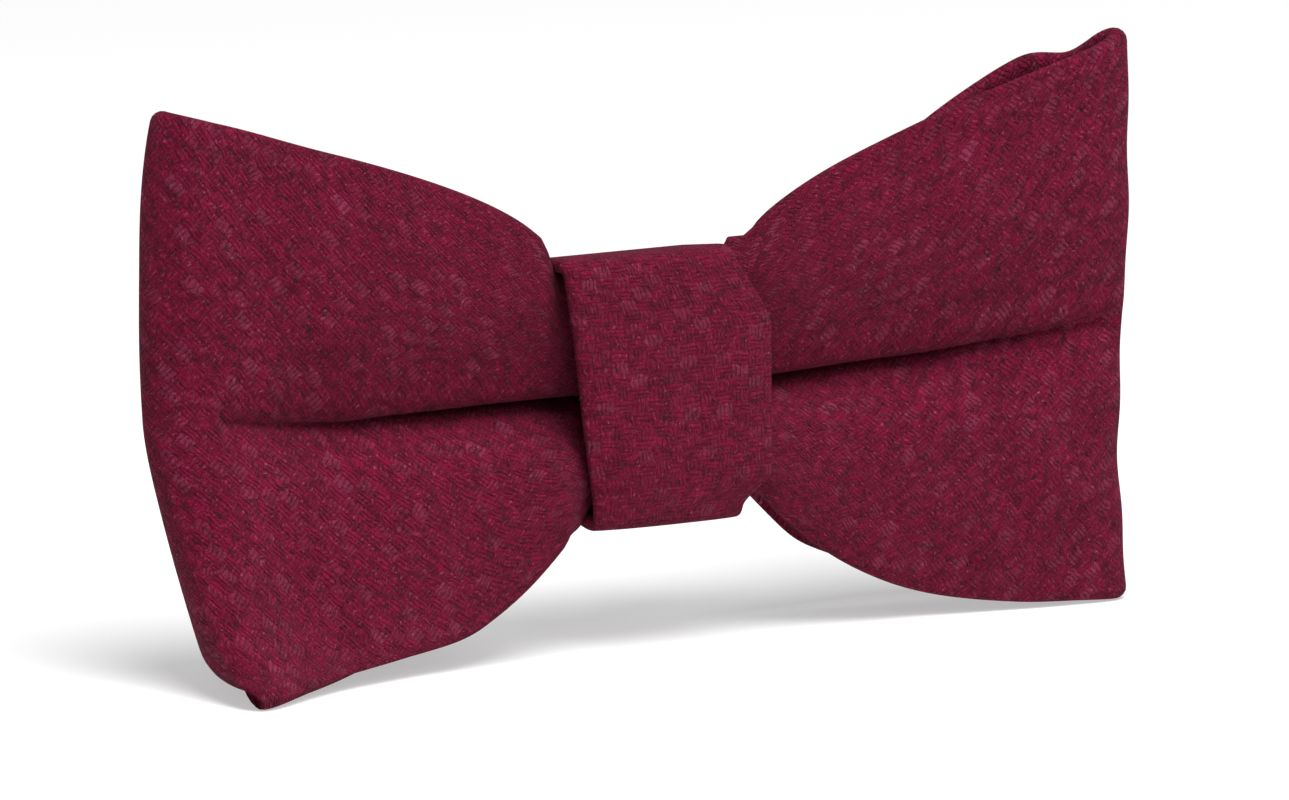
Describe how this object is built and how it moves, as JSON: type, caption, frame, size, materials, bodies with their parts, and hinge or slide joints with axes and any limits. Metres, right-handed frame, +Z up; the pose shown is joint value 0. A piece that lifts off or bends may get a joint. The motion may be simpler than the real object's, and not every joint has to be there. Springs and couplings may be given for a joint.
{
  "type": "bow tie",
  "caption": "Pre-tied woollen bow tie that clips to a shirt collar: two open cloth loops gathered under a wrapped knot, with a spring clip behind.",
  "frame": {"origin": "centre of the whole part's plan, on the floor it stands on", "axes": "+X along the bow's width, to the right as seen from the front; -Y out of the front of the knot; +Z up"},
  "size_m": [0.118, 0.0336, 0.064],
  "materials": {
    "wool_cloth": "heathered burgundy hopsack wool",
    "canvas": "natural woven stiffening canvas",
    "thread": "twisted polyester sewing thread",
    "clip_metal": "bright nickel-plated steel sheet"
  },
  "bodies": {
    "knot": {"knot_wrap": "wool_cloth", "knot_interlining": "canvas", "knot_seam_thread": "thread", "bow_waist": "wool_cloth", "waist_binding_thread": "thread", "clip_plate": "clip_metal", "clip_tack_upper": "thread", "clip_tack_lower": "thread", "jaw_pin_left": "clip_metal", "jaw_pin_right": "clip_metal", "jaw_spring_left": "clip_metal", "jaw_spring_right": "clip_metal"},
    "left_wing": {"bow_loop_left": "wool_cloth", "interlining_left": "canvas"},
    "right_wing": {"bow_loop_right": "wool_cloth", "interlining_right": "canvas"},
    "left_jaw": {"clip_jaw_left": "clip_metal"},
    "right_jaw": {"clip_jaw_right": "clip_metal"}
  },
  "joints": [
    {"name": "left_wing_bend", "type": "hinge", "parent": "knot", "child": "left_wing", "pos_m": [-0.0106, -0.0012, 0.02918], "axis": [0, 0, 1], "range_deg": [-8, 20], "stiffness_Nm_per_rad": 0.004},
    {"name": "right_wing_bend", "type": "hinge", "parent": "knot", "child": "right_wing", "pos_m": [0.0106, -0.0012, 0.02918], "axis": [0, 0, -1], "range_deg": [-8, 20], "stiffness_Nm_per_rad": 0.004},
    {"name": "left_jaw_open", "type": "hinge", "parent": "knot", "child": "left_jaw", "pos_m": [-0.0065, 0.01248, 0.02918], "axis": [0, 0, -1], "range_deg": [0, 24], "stiffness_Nm_per_rad": 0.04, "springref_deg": -22.92},
    {"name": "right_jaw_open", "type": "hinge", "parent": "knot", "child": "right_jaw", "pos_m": [0.0065, 0.01248, 0.02918], "axis": [0, 0, 1], "range_deg": [0, 24], "stiffness_Nm_per_rad": 0.04, "springref_deg": -22.92}
  ]
}
